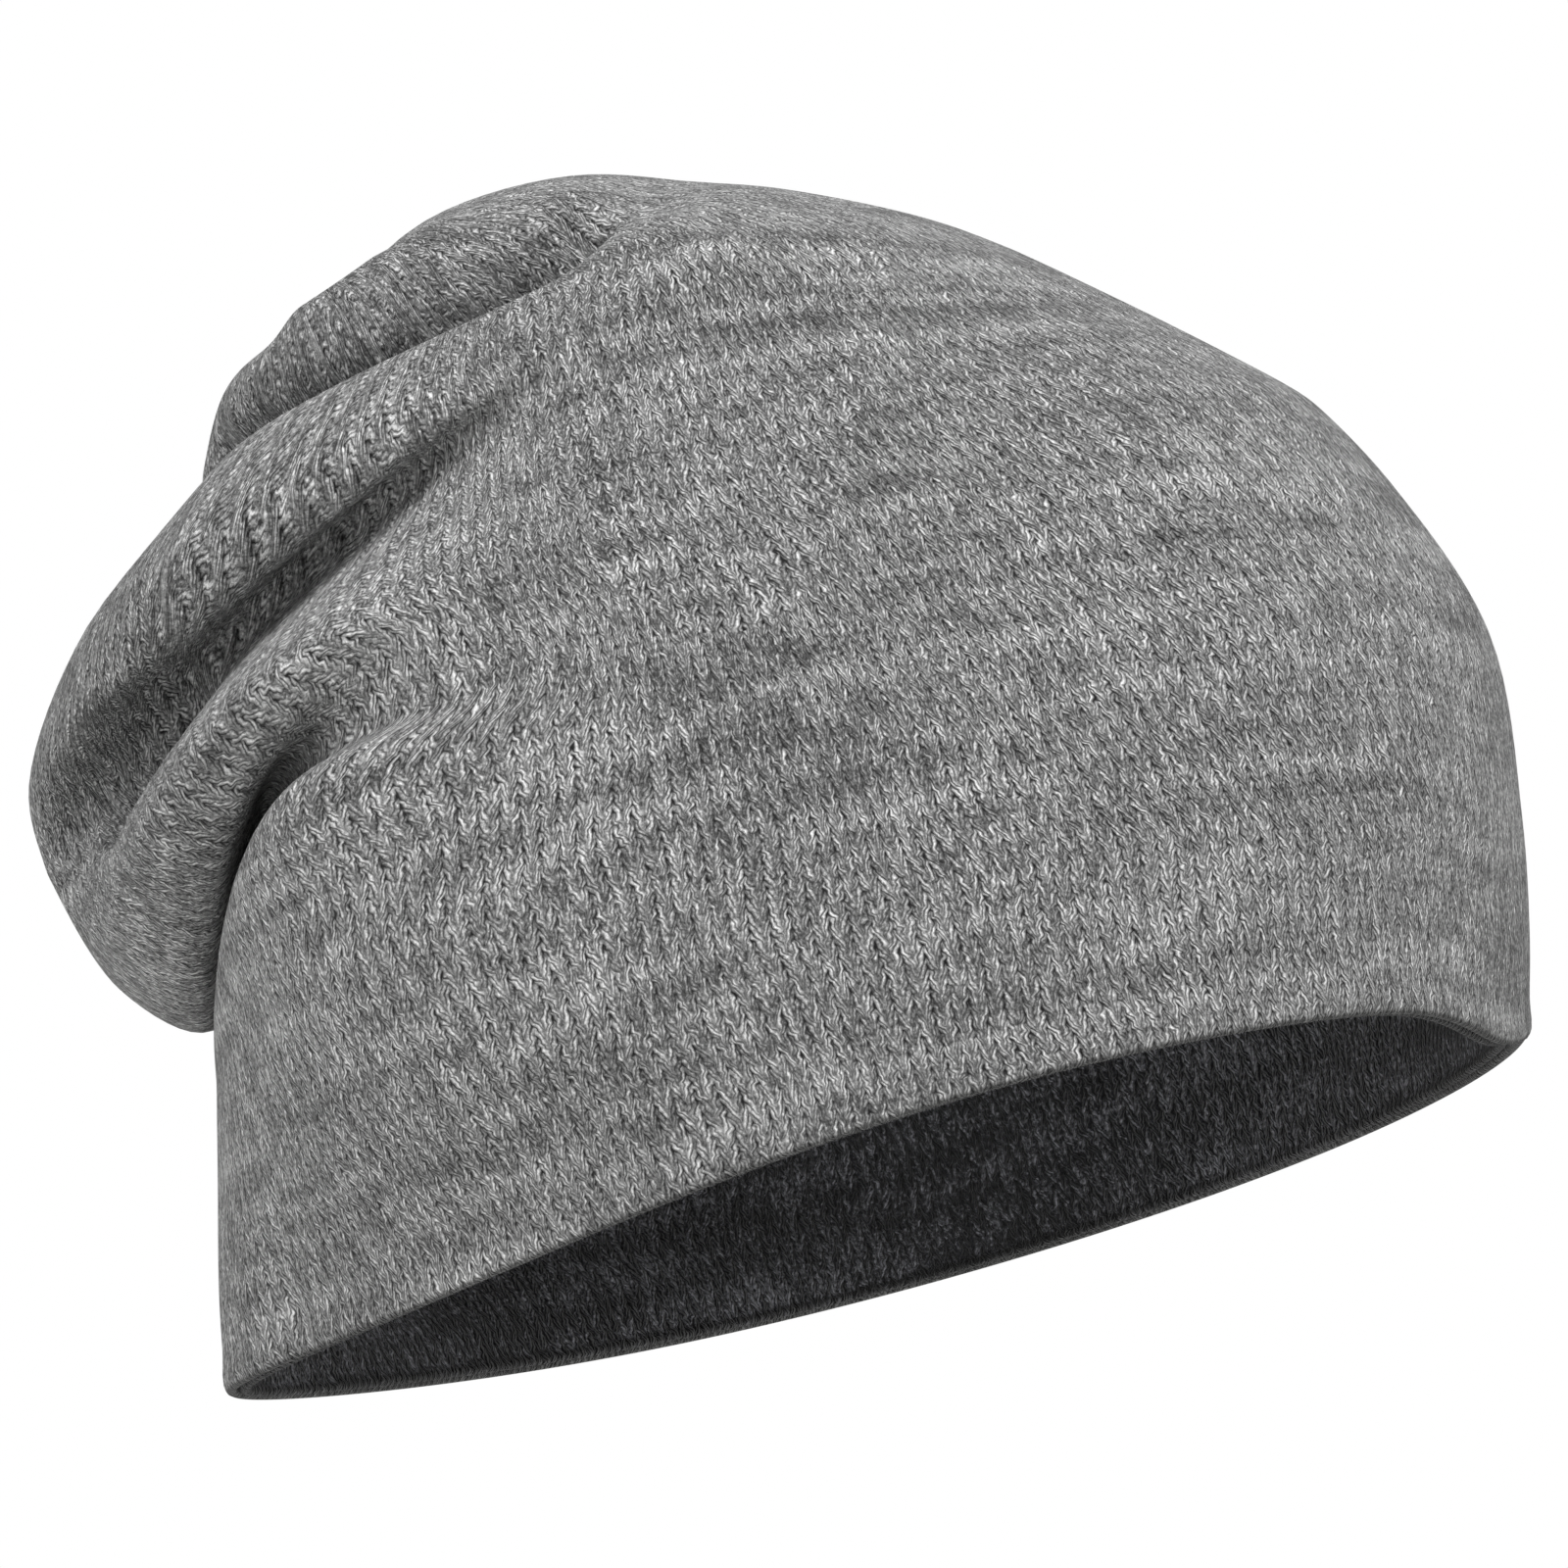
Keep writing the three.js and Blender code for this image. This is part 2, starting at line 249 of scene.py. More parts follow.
# %% Soft forms
SAG_DEPTH = 4.4                   # how far the rim hangs down beside the brow, mm
SAG_TURN, SAG_SPREAD = 19, 12     # where round the head it does so, and how widely, degrees
SAG_REACH = 0.17                  # the share of the way up at which the sag ends
FORM_START = 0.01                 # the share of the way up over which a form sets in
PATH_STEPS = 12                   # points between two places of a path
POLE_ROWS = 3                     # rows round the crown's pole that stay put
RIM_TURNS = range(0, 361, 15)
NOT_ZERO = 1e-9                   # keeps a direction's length above zero at the pole
SOFT_FORMS = [
    dict(name="hole where the two lower rolls meet", height=-11, width=4.5, above=0.5,
         path=((142, 0.56), (148, 0.555), (154, 0.555))),
    dict(name="deeper crease under the crown", height=-6, width=4, above=0.8,
         path=((160, 0.855), (139, 0.86), (110, 0.86), (90, 0.86), (78, 0.865))),
    dict(name="fuller crown roll above that crease", height=2.5, width=6, above=0.89,
         path=((122, 0.935), (105, 0.935), (90, 0.93))),
    dict(name="ridge from the crown to the middle roll", height=2.0, width=7, above=0.6,
         path=((70, 0.89), (78, 0.79), (75, 0.69))),
    dict(name="rounded edge at the rim", height=0.6, width=3, above=0,
         path=tuple((turn, 0.005) for turn in RIM_TURNS)),
]


def path_points(face, path):
    columns, rows = face.shape[1] - 1, face.shape[0] - 1
    spans = len(path) - 1
    stops = np.linspace(0, spans, spans * PATH_STEPS + 1)
    turns, ups = (np.interp(stops, range(len(path)), places) for places in zip(*path))
    return np.array([face[round(up * rows), round(turn / 360 * columns)] for turn, up in zip(turns, ups)])


def with_soft_forms(face):
    up = np.concatenate([face[1:], face[-1:]]) - np.concatenate([face[:1], face[:-1]])
    along = np.roll(face[:, :-1], -1, 1) - np.roll(face[:, :-1], 1, 1)
    along = np.concatenate([along, along[:, :1]], 1)
    out = unit(np.cross(up, along) + NOT_ZERO)
    rise = np.zeros(face.shape[:2])
    share = np.linspace(0, 1, len(face))[:, None]
    for form in SOFT_FORMS:
        points = path_points(face, form["path"])
        away = np.min([np.linalg.norm(face - point, axis=-1) for point in points], axis=0)
        reached = smooth_step(share, form["above"] - FORM_START, form["above"] + FORM_START)
        rise += form["height"] * np.exp(-(away / form["width"]) ** 2) * reached
    rise[-POLE_ROWS:] = 0
    return face + out * rise[..., None]


def with_sagging_rim(face):
    # the first column lies at 0 degrees and the last at 360, where the sag has ended, so it leaves a
    # step of up to 0.4 mm in the seam between them, from the rim to the sag's reach
    turn = np.arange(face.shape[1]) / COLUMNS * 360
    share = np.linspace(0, 1, len(face))[:, None]
    round_head = np.exp(-((turn - SAG_TURN) / SAG_SPREAD) ** 2)
    sagged = face.copy()
    sagged[..., 2] -= SAG_DEPTH * round_head * (1 - smooth_step(share, 0, SAG_REACH))
    return sagged


outer_face = with_soft_forms(with_sagging_rim(smooth_face))
print("the soft forms move the cloth by up to", round(float(np.abs(outer_face - smooth_face).max()), 1), "mm")


# %% [markdown]
# A layer of cloth has a thickness, so its inner face lies along the inward directions of the outer
# one. In a tight fold those directions cross. Real jersey can't turn tighter than its own
# thickness, so directions that close in on each other are eased towards their neighbours.

# %% Inward faces
EASING_ROUNDS = 60
TIGHT_SHARE = 0.4    # a step may close in to this share of its length


def outward_of(face, depth):
    ring = face[:, :-1]
    up = np.concatenate([ring[1:], ring[-1:]]) - np.concatenate([ring[:1], ring[:-1]])
    along = np.roll(ring, -1, 1) - np.roll(ring, 1, 1)
    out = np.cross(up, along)
    out[-1] = out[-2].sum(0)
    out /= np.linalg.norm(out, axis=-1, keepdims=True)
    for _ in range(EASING_ROUNDS):
        closing = np.zeros(ring.shape[:2], bool)
        for axis in (0, 1):
            step = np.roll(ring, -1, axis) - ring
            inner = step - (np.roll(out, -1, axis) - out) * depth
            close = (inner * step).sum(-1) < TIGHT_SHARE * (step * step).sum(-1)
            if axis == 0:
                close[-2:] = False
            closing |= close | np.roll(close, 1, axis)
        closing[-1] = False
        eased = out + np.roll(out, 1, 1) + np.roll(out, -1, 1)
        eased += np.concatenate([out[:1], out[:-1]]) + np.concatenate([out[1:], out[-1:]])
        out = np.where(closing[..., None], eased, out)
        out /= np.linalg.norm(out, axis=-1, keepdims=True)
    return np.concatenate([out, out[:, :1]], 1)


outward = outward_of(outer_face, OUTER_WALL + LAYER_GAP + LINING_WALL)
print("outward directions:", outward.shape)


# %% [markdown]
# A layer of cloth has an outer and an inner face, which meet in a rounded edge at the rim. The outer
# layer's edge lies a step above the lining's, so that the charcoal shows right along the rim. Seen
# from the middle of that edge, a face runs round a quarter of a circle and then up to the crown.

# %% The two sides of a layer
EDGE_TURNS = (90, 60, 30)    # degrees round the edge, from its middle to the face


def drawn_up(face, step):
    rim = face[0] + unit(face[1] - face[0]) * step
    return np.concatenate([rim[None], face[1:]])


def with_edge(face, directions, depth, far_depth):
    down = unit(face[0] - face[1])
    radius = (far_depth - depth) / 2
    edge = []
    for turn in np.radians(EDGE_TURNS):
        inward = depth + radius * (1 - math.cos(turn))
        edge.append(face[0] - directions[0] * inward + down * abs(radius) * math.sin(turn))
    return np.concatenate([edge, face - directions * depth])


print("a layer's edge is cut at", EDGE_TURNS, "degrees")


# %% [markdown]
# Each side starts as a flat grid from bmesh, one vertex for each point of the loft. Moving the
# vertices to their places rolls the grid up into the cap. The grid keeps its flat coordinates as a
# UV map: up it holds the real distance from the rim in metres, and across it counts the share of the
# turn round the head, shifted row by row so that the ribs stay square to the rows. A knitted pattern
# reads them, so its stitches stay the same size and shape wherever the cloth turns. Then the seam at
# the brow, the pole at the crown and the rim are welded. The seam's lowest part stays open, where the
# sag has left its small step, and the count of open edges below says so.

# %% From faces to a closed layer of cloth
WELD = 1e-7               # metres
SLIP_WAVES = 4            # how finely the ribs' shift may change round the head
SLIP_FADE = (0.3, 0.5)    # shares of the way up between which the shift stops growing
LEAST_STEP = 1e-3         # mm along a row
LEAST_TURN = 1e-4         # share of the turn round the head


def distance_up(face):
    steps = np.linalg.norm(np.diff(face, axis=0), axis=-1)
    return np.concatenate([np.zeros((1, face.shape[1])), np.cumsum(steps, 0)])


def turn_shares(face):
    ring = face[:, :-1]
    columns = ring.shape[1]
    along = (np.roll(ring, -1, 1) - np.roll(ring, 1, 1)) / 2
    length = np.maximum(np.linalg.norm(along, axis=-1), LEAST_STEP)
    slip = ((ring[1:] - ring[:-1]) * along[:-1]).sum(-1) / length[:-1] ** 2 / columns
    waves = np.fft.rfft(slip, axis=1)
    waves[:, SLIP_WAVES + 1:] = 0
    slip = np.fft.irfft(waves, columns, axis=1)
    slip *= (1 - smooth_step(np.arange(len(slip)) / len(slip), *SLIP_FADE))[:, None]
    shift = np.concatenate([np.zeros((1, columns)), np.cumsum(slip, 0)])
    shift = np.concatenate([shift, shift[:, :1]], 1)
    return np.arange(columns + 1) / columns + shift


def rib_widths(face, turns):
    shares = np.maximum(np.diff(turns, axis=1), LEAST_TURN)
    steps = np.linalg.norm(np.diff(face, axis=1), axis=-1) / shares
    steps = np.concatenate([steps[:, -1:], steps, steps[:, :1]], 1)
    return (steps[:, 1:] + steps[:, :-1]) / (2 * MILLIMETRES)


def add_face(shell, face, turned):
    rows, columns = face.shape[0] - 1, face.shape[1] - 1
    grid = bmesh.new()
    bmesh.ops.create_grid(grid, x_segments=columns, y_segments=rows, size=0.5)
    knit = grid.loops.layers.uv.new("knit")
    rib = grid.verts.layers.float.new("rib_width")
    height, turns = distance_up(face), turn_shares(face)
    widths = rib_widths(face, turns)
    cells = {}
    for vertex in grid.verts:
        column, row = round((vertex.co.x + 0.5) * columns), round((vertex.co.y + 0.5) * rows)
        cells[vertex] = (column, row)
        vertex[rib] = widths[row, column]
        vertex.co = Vector(face[row, column] / MILLIMETRES)
    for polygon in grid.faces:
        for loop in polygon.loops:
            column, row = cells[loop.vert]
            loop[knit].uv = (turns[row, column], height[row, column] / MILLIMETRES)
    if turned:
        bmesh.ops.reverse_faces(grid, faces=grid.faces)
    bmesh.ops.remove_doubles(grid, verts=grid.verts, dist=WELD)
    mesh = bpy.data.meshes.new("face")
    grid.to_mesh(mesh)
    grid.free()
    shell.from_mesh(mesh)
    bpy.data.meshes.remove(mesh)


def layer_of_cloth(name, face, directions, outer_depth, inner_depth):
    shell = bmesh.new()
    add_face(shell, with_edge(face, directions, outer_depth, inner_depth), turned=False)
    add_face(shell, with_edge(face, directions, inner_depth, outer_depth), turned=True)
    bmesh.ops.remove_doubles(shell, verts=shell.verts, dist=WELD)
    bmesh.ops.recalc_face_normals(shell, faces=shell.faces)
    mesh = bpy.data.meshes.new(name)
    shell.to_mesh(mesh)
    print(name, "faces", len(shell.faces), "open edges", sum(e.is_boundary for e in shell.edges),
          "volume cm3", round(shell.calc_volume() * 1e6, 1))
    shell.free()
    mesh.polygons.foreach_set("use_smooth", [True] * len(mesh.polygons))
    piece = bpy.data.objects.new(name, mesh)
    scene.collection.objects.link(piece)
    return piece


lining_depth = OUTER_WALL + LAYER_GAP
outer = layer_of_cloth("outer_jersey", drawn_up(outer_face, EDGE_STEP), outward, 0, OUTER_WALL)
lining = layer_of_cloth("lining_jersey", outer_face, outward, lining_depth, lining_depth + LINING_WALL)


# %% [markdown]
# Colours are written as sRGB hex values, as a dyer's card gives them, and one function turns them
# into Blender's linear light. One more function adds a node with its settings and its links.

# %% Colour and node helpers
def linear(hex_colour):
    channels = [int(hex_colour[k:k + 2], 16) / 255 for k in (1, 3, 5)]
    return [c / 12.92 if c <= 0.04045 else ((c + 0.055) / 1.055) ** 2.4 for c in channels] + [1]


def add_node(tree, kind, inputs, **settings):
    node = tree.nodes.new(kind)
    for key, value in settings.items():
        setattr(node, key, value)
    for key, value in inputs.items():
        if isinstance(value, bpy.types.NodeSocket):
            tree.links.new(value, node.inputs[key])
        else:
            node.inputs[key].default_value = value
    return node


print("middle grey in linear light:", [round(channel, 3) for channel in linear("#a0a0a0")])


# %% [markdown]
# Jersey is stocking stitch: ribs of small V's, each V one stitch. About 240 ribs go round this cap,
# 2.3 mm apart, and the rows of stitches lie 1.48 mm apart. The pattern could be modelled, stitch by
# stitch, but thirty thousand of them are too fine to be worth it, so it is drawn by nodes and raised
# by bump. A stitch's two legs slope up and out from the middle of the rib. Where the cap narrows
# towards the crown, a real knitter drops ribs, and the pattern does so too: it knits two for three
# and so on.

# %% The stocking stitch
RIBS = 240
RIB_PITCH = 0.0023      # metres
ROW_PITCH = 0.00148     # metres
LEG_RISE = 2.0          # rows that a leg climbs from the middle of its rib to the next one
LEG_ROUNDNESS = 0.6     # lower is flatter on top
ARCH_START = 0.02       # how far up its arch a leg is at its ends
PIT_LEAST, PIT_RANGE = 0.5, 1.1
# scale of the noise, and how many ribs and rows it moves the pattern
RIBS_MEANDER = (0.08, (1.8, 1.6, 0.0))
STITCHES_PULLED = (1.1, (0.4, 0.9, 0.0))


def add_stitches(tree):
    uv = add_node(tree, "ShaderNodeUVMap", {}, uv_map="knit")
    split = add_node(tree, "ShaderNodeSeparateXYZ", {0: uv.outputs[0]})
    width = add_node(tree, "ShaderNodeAttribute", {}, attribute_name="rib_width")
    # twice the number of ribs that are knitted as one
    joined = add_node(tree, "ShaderNodeMath", {0: 2 * RIB_PITCH * RIBS, 1: width.outputs["Fac"]},
                      operation="DIVIDE")
    joined = add_node(tree, "ShaderNodeMath", {0: joined.outputs[0]}, operation="ROUND")
    joined = add_node(tree, "ShaderNodeMath", {0: joined.outputs[0], 1: 2.0}, operation="MAXIMUM")
    ribs = add_node(tree, "ShaderNodeMath", {0: 2.0 * RIBS, 1: joined.outputs[0]}, operation="DIVIDE")
    rib = add_node(tree, "ShaderNodeMath", {0: split.outputs["X"], 1: ribs.outputs[0]}, operation="MULTIPLY")
    row = add_node(tree, "ShaderNodeMath", {0: split.outputs["Y"], 1: ROW_PITCH}, operation="DIVIDE")
    place = add_node(tree, "ShaderNodeCombineXYZ", {0: rib.outputs[0], 1: row.outputs[0]})
    # ribs meander over many stitches, and each stitch is pulled a little its own way
    for scale, pull in (RIBS_MEANDER, STITCHES_PULLED):
        wander = add_node(tree, "ShaderNodeTexNoise", {"Vector": place.outputs[0], "Scale": scale,
                                                       "Detail": 1.0}, noise_dimensions="2D")
        wander = add_node(tree, "ShaderNodeVectorMath", {0: wander.outputs["Color"], 1: (0.5, 0.5, 0.5)},
                          operation="SUBTRACT")
        place = add_node(tree, "ShaderNodeVectorMath", {0: wander.outputs[0], 1: pull, 2: place.outputs[0]},
                         operation="MULTIPLY_ADD")
    split = add_node(tree, "ShaderNodeSeparateXYZ", {0: place.outputs[0]})
    # distance from the middle of the rib, from 0 there to 1 between two ribs
    side = add_node(tree, "ShaderNodeMath", {0: split.outputs["X"], 1: 0.5}, operation="PINGPONG")
    side = add_node(tree, "ShaderNodeMath", {0: side.outputs[0], 1: 2.0}, operation="MULTIPLY")
    # place across the leg of the stitch, counted up the rib
    lift = add_node(tree, "ShaderNodeMath", {0: side.outputs[0], 1: LEG_RISE, 2: split.outputs["Y"]},
                    operation="MULTIPLY_ADD")
    round_leg = add_node(tree, "ShaderNodeMath", {0: lift.outputs[0]}, operation="FRACT")
    round_leg = add_node(tree, "ShaderNodeMath", {0: round_leg.outputs[0], 1: math.pi}, operation="MULTIPLY")
    round_leg = add_node(tree, "ShaderNodeMath", {0: round_leg.outputs[0]}, operation="SINE")
    # a leg is high in its middle and dives at both ends
    arch = add_node(tree, "ShaderNodeMath", {0: side.outputs[0], 1: math.pi * (1 - 2 * ARCH_START),
                                             2: math.pi * ARCH_START}, operation="MULTIPLY_ADD")
    arch = add_node(tree, "ShaderNodeMath", {0: arch.outputs[0]}, operation="SINE")
    stitch = add_node(tree, "ShaderNodeMath", {0: round_leg.outputs[0], 1: LEG_ROUNDNESS},
                      operation="POWER")
    stitch = add_node(tree, "ShaderNodeMath", {0: stitch.outputs[0], 1: arch.outputs[0]},
                      operation="MULTIPLY")
    # the painted shade of the pit at the point of the V is 1 in its middle, and not all pits are equally dark
    above = add_node(tree, "ShaderNodeMath", {0: 1.0, 1: round_leg.outputs[0]}, operation="SUBTRACT")
    beside = add_node(tree, "ShaderNodeMath", {0: 1.0, 1: side.outputs[0]}, operation="SUBTRACT")
    pit_shade_mask = add_node(tree, "ShaderNodeMath", {0: above.outputs[0], 1: beside.outputs[0]}, operation="MULTIPLY")
    cell = add_node(tree, "ShaderNodeVectorMath", {0: place.outputs[0], 1: (0.5, 0.5, 0.0)},
                    operation="ADD")
    cell = add_node(tree, "ShaderNodeVectorMath", {0: cell.outputs[0]}, operation="FLOOR")
    luck = add_node(tree, "ShaderNodeTexWhiteNoise", {"Vector": cell.outputs[0]}, noise_dimensions="2D")
    luck = add_node(tree, "ShaderNodeMath", {0: luck.outputs["Value"], 1: PIT_RANGE, 2: PIT_LEAST},
                    operation="MULTIPLY_ADD")
    pit_shade_mask = add_node(tree, "ShaderNodeMath", {0: pit_shade_mask.outputs[0], 1: luck.outputs[0]}, operation="MULTIPLY",
                   use_clamp=True)
    return place, lift, stitch, pit_shade_mask


print(RIBS, "ribs,", round(RIB_PITCH * MILLIMETRES, 2), "mm apart")


# %% [markdown]
# Melange yarn is spun from light and dark fibres. That shows in three ways: long soft streaks along the rows,
# legs that are lighter or darker than their neighbours, and fine strands of fibre, less than a millimetre
# long, that lie all ways. The streaks and the legs follow the knitting, and the strands read Object
# coordinates. The three add up and pick the colour from a ramp. Painted shade then darkens the colour in the
# gaps and pits between the legs, since bump casts no shade there of its own.

# %% The melange yarn
STREAK_SCALE = (0.06, 0.3, 1.0)    # streaks per rib and per row
STRANDS_A_METRE = 1500
STREAK_SHARE = 0.5
LEG_SHARE = 0.3
STRAND_SHARE = 1.5
EVEN_OUT = -0.65                   # brings the sum of the three back to the middle of the ramp
RAMP = (0.2, 0.5, 0.8)             # where on it the dark, the middle and the light tone lie
GAP_SHADE_LEVEL = 0.4                     # how light the painted shade leaves the bottom of a gap
LEG_TOP = 0.7                      # the height from which a leg has no painted shade and its full tone
PIT_SHADE = 0.7                    # how much painted shade a pit takes off the colour


def add_yarn(tree, place, lift, stitch, pit_shade_mask, dark, mid, light):
    split = add_node(tree, "ShaderNodeSeparateXYZ", {0: place.outputs[0]})
    streaks = add_node(tree, "ShaderNodeMapping", {"Vector": place.outputs[0], "Scale": STREAK_SCALE})
    streaks = add_node(tree, "ShaderNodeTexNoise", {"Vector": streaks.outputs[0], "Scale": 1.0, "Detail": 3.0,
                                                    "Roughness": 0.6}, noise_dimensions="2D")
    # each leg takes up its own bit of the mixed yarn
    half = add_node(tree, "ShaderNodeMath", {0: split.outputs["X"], 1: 2.0}, operation="MULTIPLY")
    cell = add_node(tree, "ShaderNodeCombineXYZ", {0: half.outputs[0], 1: lift.outputs[0]})
    cell = add_node(tree, "ShaderNodeVectorMath", {0: cell.outputs[0]}, operation="FLOOR")
    bits = add_node(tree, "ShaderNodeTexWhiteNoise", {"Vector": cell.outputs[0]}, noise_dimensions="2D")
    object_place = add_node(tree, "ShaderNodeTexCoord", {})
    strands = add_node(tree, "ShaderNodeTexNoise", {
        "Vector": object_place.outputs["Object"], "Scale": STRANDS_A_METRE, "Detail": 3.0, "Roughness": 0.7})
    mixed = add_node(tree, "ShaderNodeMath", {0: streaks.outputs["Fac"], 1: STREAK_SHARE, 2: EVEN_OUT},
                     operation="MULTIPLY_ADD")
    for part, share in ((bits.outputs["Value"], LEG_SHARE), (strands.outputs["Fac"], STRAND_SHARE)):
        mixed = add_node(tree, "ShaderNodeMath", {0: part, 1: share, 2: mixed.outputs[0]},
                         operation="MULTIPLY_ADD")
    tone = add_node(tree, "ShaderNodeValToRGB", {"Fac": mixed.outputs[0]})
    ramp = tone.color_ramp
    ramp.elements[0].position, ramp.elements[0].color = RAMP[0], linear(dark)
    ramp.elements[1].position, ramp.elements[1].color = RAMP[2], linear(light)
    ramp.elements.new(RAMP[1]).color = linear(mid)
    # painted shade: the colour is darkened in the gaps between the legs and in the pits, where bump casts no
    # shade
    gap = add_node(tree, "ShaderNodeMapRange", {"Value": stitch.outputs[0], "From Max": LEG_TOP,
                                                "To Min": GAP_SHADE_LEVEL})
    gap = add_node(tree, "ShaderNodeMath", {0: pit_shade_mask.outputs[0], 1: -PIT_SHADE, 2: gap.outputs[0]},
                   operation="MULTIPLY_ADD", use_clamp=True)
    colour = add_node(tree, "ShaderNodeVectorMath", {0: tone.outputs[0], 3: gap.outputs[0]},
                      operation="SCALE")
    return colour, strands


print("strands about", round(MILLIMETRES / STRANDS_A_METRE, 2), "mm long")


# %% [markdown]
# Both layers are cotton jersey, knitted on a machine. Its loose fibre ends scatter the light, so it is matt,
# with hardly any gloss and a faint sheen where it turns away. The two layers differ in their dye: heather
# grey outside, charcoal inside. The charcoal is seen right along the rim. The turned edge of both layers has
# painted shade: its colour is darkened so that the light from below doesn't show it as a pale line.

# %% The two jerseys
RIM_SHADE_TONE = 0.2             # how light the painted shade leaves the cloth's turned edge beside the rest
RIM_START = 0.6            # share of the edge's width at which its painted shade begins to fade out
STRAND_RELIEF = 0.5        # how high the strands stand, beside a leg
STITCH_DEPTH = 0.0008      # metres from the pits to the top of a leg
HEATHER_EDGE = 0.0016      # metres round the turned edge that carry painted shade
CHARCOAL_EDGE = 0.002


def jersey_material(name, dark, mid, light, edge):
    material = bpy.data.materials.new(name)
    material.use_nodes = True
    tree = material.node_tree
    tree.nodes.clear()
    place, lift, stitch, pit_shade_mask = add_stitches(tree)
    colour, strands = add_yarn(tree, place, lift, stitch, pit_shade_mask, dark, mid, light)
    # painted shade: the edge turned in at the rim is darkened all the way to the face, so the light from
    # below doesn't show it as a pale line
    uv = add_node(tree, "ShaderNodeUVMap", {}, uv_map="knit")
    split = add_node(tree, "ShaderNodeSeparateXYZ", {0: uv.outputs[0]})
    rim = add_node(tree, "ShaderNodeMapRange", {"Value": split.outputs["Y"], "From Min": edge * RIM_START,
                                                "From Max": edge, "To Min": RIM_SHADE_TONE})
    colour = add_node(tree, "ShaderNodeVectorMath", {0: colour.outputs[0], 3: rim.outputs[0]},
                      operation="SCALE")
    relief = add_node(tree, "ShaderNodeMath", {0: strands.outputs["Fac"], 1: STRAND_RELIEF,
                                               2: stitch.outputs[0]}, operation="MULTIPLY_ADD")
    bump = add_node(tree, "ShaderNodeBump", {"Height": relief.outputs[0], "Distance": STITCH_DEPTH,
                                             "Strength": 1.0})
    shader = add_node(tree, "ShaderNodeBsdfPrincipled", {
        "Base Color": colour.outputs[0], "Roughness": 0.95, "Specular IOR Level": 0.15, "Sheen Weight": 0.25,
        "Sheen Roughness": 0.5, "Normal": bump.outputs[0]})
    add_node(tree, "ShaderNodeOutputMaterial", {"Surface": shader.outputs[0]})
    return material


heather = jersey_material("heather_grey_cotton_jersey", "#464646", "#a0a0a0", "#ececec", HEATHER_EDGE)
charcoal = jersey_material("charcoal_cotton_jersey", "#060607", "#303036", "#a4a4ac", CHARCOAL_EDGE)
outer.data.materials.append(heather)
lining.data.materials.append(charcoal)
print("materials:", [m.name for m in bpy.data.materials])

# %% [markdown]
# The beanie is worn, so nothing stands under it. It rides on the frame's one body and takes the place of the
# two plain CAD layers.

# %% Tie the pieces to the frame
for piece, node, slot, area in ((outer, "outer_layer", "heather_grey_jersey", 0.0942),
                                (lining, "lining", "charcoal_jersey", 0.0905)):
    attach(piece, "root")
    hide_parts(node)

# %% [markdown]
# The beanie is photographed from a little below the rim, so the camera stands low and looks up. A
# long lens from further off would flatten the opening, and a short one would stretch the brow, so
# the camera stands 1.25 m away, and its lens is worked out from the size of a pixel on the beanie.

# %% Camera
IMAGE_MIDDLE = Vector((-0.0138, 0, 0.0634))
DISTANCE = 1.25
LOOK_UP = math.radians(12.5)
SENSOR = 36             # mm
PICTURE = 1600          # pixels across
PIXEL = 0.000142        # metres on the beanie
camera_data = bpy.data.cameras.new("camera")
camera = bpy.data.objects.new("camera", camera_data)
scene.collection.objects.link(camera)
camera.location = IMAGE_MIDDLE - DISTANCE * Vector((0, math.cos(LOOK_UP), math.sin(LOOK_UP)))
camera.rotation_euler = (math.pi / 2 + LOOK_UP, 0, 0)
camera_data.sensor_width = SENSOR
camera_data.lens = SENSOR * DISTANCE / (PICTURE * PIXEL)
scene.camera = camera
print("lens, mm:", round(camera_data.lens, 1))

# %% [markdown]
# A studio picture of a hat has white all round it. The floor is a plain sheet of pale paper. It lies
# below the camera, which looks up, so it shows only in views from higher up.

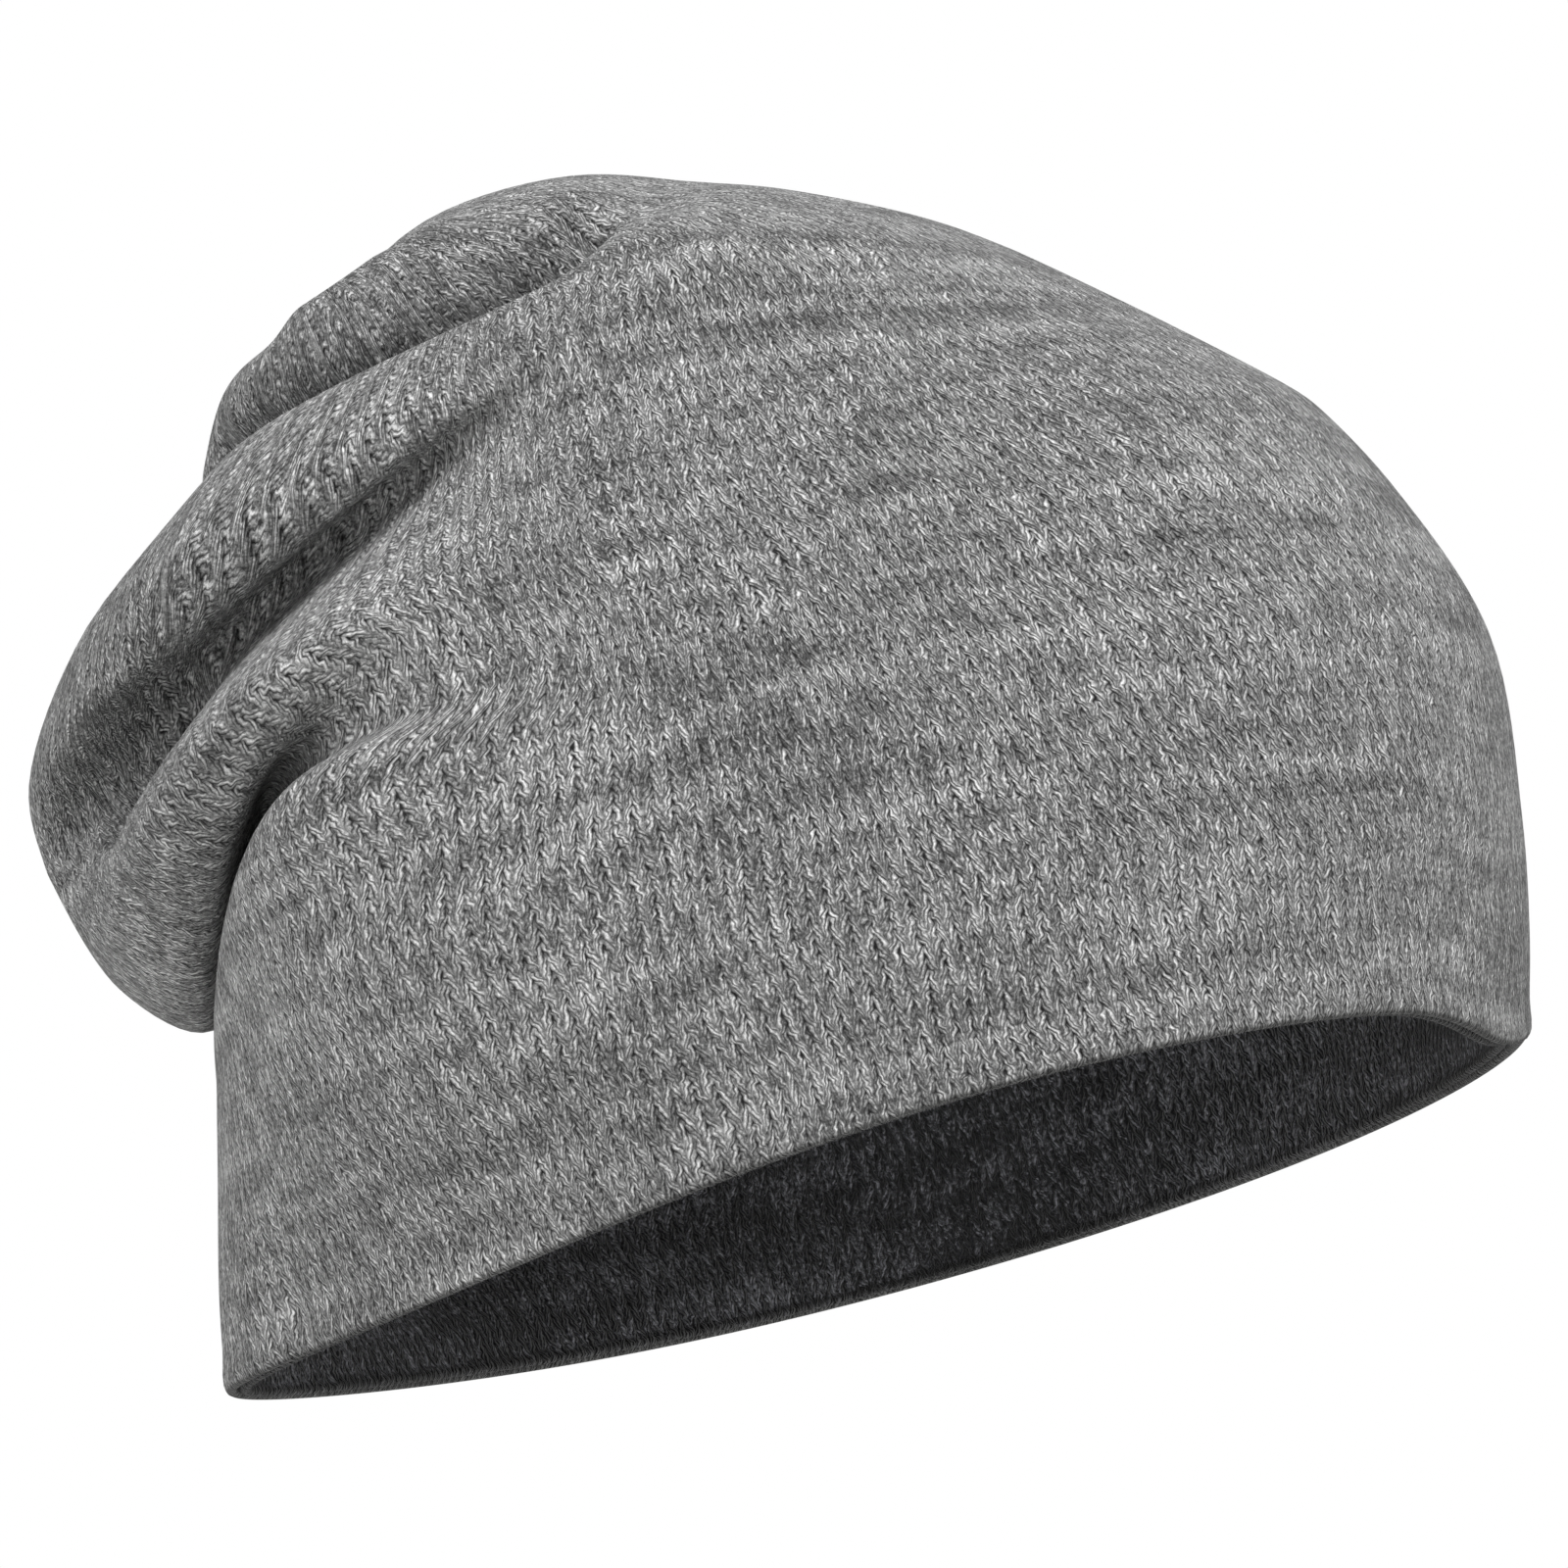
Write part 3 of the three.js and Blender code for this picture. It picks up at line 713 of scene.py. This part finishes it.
# %% Floor
FLOOR_HEIGHT = -0.32
FLOOR_REACH = 4.0
floor_mesh = bpy.data.meshes.new("floor")
floor_shape = bmesh.new()
bmesh.ops.create_grid(floor_shape, x_segments=1, y_segments=1, size=FLOOR_REACH,
                      matrix=Matrix.Translation((0, 0, FLOOR_HEIGHT)))
floor_shape.to_mesh(floor_mesh)
floor_shape.free()
floor = bpy.data.objects.new("floor", floor_mesh)
scene.collection.objects.link(floor)
paper = bpy.data.materials.new("matt_white_paper")
paper.use_nodes = True
paper.node_tree.nodes["Principled BSDF"].inputs["Base Color"].default_value = linear("#ececea")
paper.node_tree.nodes["Principled BSDF"].inputs["Roughness"].default_value = 0.9
floor_mesh.materials.append(paper)
print("floor at", FLOOR_HEIGHT, "m")

# %% [markdown]
# Soft light from all round fills the picture, and two soft boxes give the folds their shade. The
# larger share comes from above the brow's side, and a weaker one from beside the bag. The white
# behind the beanie is a little brighter than the light that falls on the cloth, as in a studio
# where the backdrop has lamps of its own.

# %% Light
ROUND_LIGHT = 0.68
BOX_SIZE = 0.5
world = bpy.data.worlds.new("white_studio")
scene.world = world
world.use_nodes = True
world.node_tree.nodes.clear()
ray = add_node(world.node_tree, "ShaderNodeLightPath", {})
strength = add_node(world.node_tree, "ShaderNodeMapRange", {"Value": ray.outputs["Is Camera Ray"],
                                                            "To Min": ROUND_LIGHT, "To Max": 1.0})
sky = add_node(world.node_tree, "ShaderNodeBackground", {"Color": (1, 1, 1, 1),
                                                         "Strength": strength.outputs[0]})
add_node(world.node_tree, "ShaderNodeOutputWorld", {"Surface": sky.outputs[0]})
scene.view_settings.view_transform = "Standard"


def soft_box(name, place, aim, power):
    light = bpy.data.lights.new(name, "AREA")
    light.shape = "SQUARE"
    light.size = BOX_SIZE
    light.energy = power
    lamp = bpy.data.objects.new(name, light)
    lamp.location = place
    lamp.rotation_euler = (Vector(aim) - Vector(place)).to_track_quat("-Z", "Y").to_euler()
    scene.collection.objects.link(lamp)


soft_box("key_light", (0.35, -0.75, 0.85), (0, 0, 0.06), 10)
soft_box("fill_light", (-0.9, -0.55, 0.3), (-0.05, 0, 0.06), 4)
